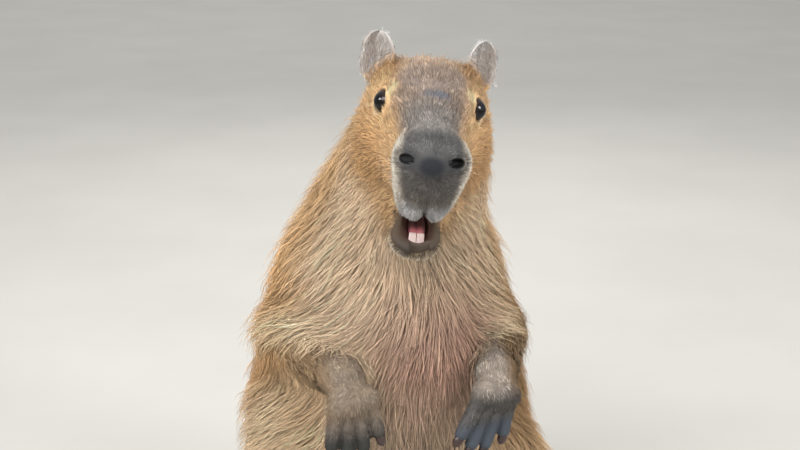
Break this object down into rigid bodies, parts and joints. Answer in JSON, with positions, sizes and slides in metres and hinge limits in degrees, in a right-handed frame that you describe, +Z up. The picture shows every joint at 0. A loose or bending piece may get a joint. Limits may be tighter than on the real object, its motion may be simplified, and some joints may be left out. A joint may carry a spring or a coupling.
{
  "type": "capybara model",
  "caption": "Life-size still model of a capybara sitting up on its haunches with forepaws hanging and mouth open.",
  "frame": {"origin": "on the floor, at the middle of the bounding box's footprint", "axes": "+Z up, the animal faces -Y, its own left side is +X"},
  "size_m": [0.3504, 0.4774, 0.7082],
  "materials": {
    "coat": "coarse golden-brown hair, long and lying downwards",
    "face": "short dense brown hair, greyer on the muzzle",
    "paw": "blue-grey skin with short dark hair",
    "claw": "dark horn with a reddish tinge, satin",
    "ear": "thin pinkish-grey skin with fine pale hair",
    "eye": "near-black wet cornea, high gloss",
    "tongue": "moist pink flesh",
    "tooth": "off-white enamel, satin"
  },
  "bodies": {
    "root": {"claw_front_left_1": "claw", "claw_front_left_2": "claw", "claw_front_left_3": "claw", "claw_front_left_4": "claw", "claw_front_right_1": "claw", "claw_front_right_2": "claw", "claw_front_right_3": "claw", "claw_front_right_4": "claw", "claw_hind_left_1": "claw", "claw_hind_left_2": "claw", "claw_hind_left_3": "claw", "claw_hind_right_1": "claw", "claw_hind_right_2": "claw", "claw_hind_right_3": "claw", "ear_left": "ear", "ear_right": "ear", "eye_left": "eye", "eye_right": "eye", "foot_left": "paw", "foot_right": "paw", "forearm_left": "paw", "forearm_right": "paw", "hand_left": "paw", "hand_right": "paw", "head": "face", "incisor_left": "tooth", "incisor_right": "tooth", "jaw": "face", "neck": "coat", "thigh_left": "coat", "thigh_right": "coat", "tongue": "tongue", "torso": "coat", "upper_arm_left": "coat", "upper_arm_right": "coat"}
  },
  "joints": []
}
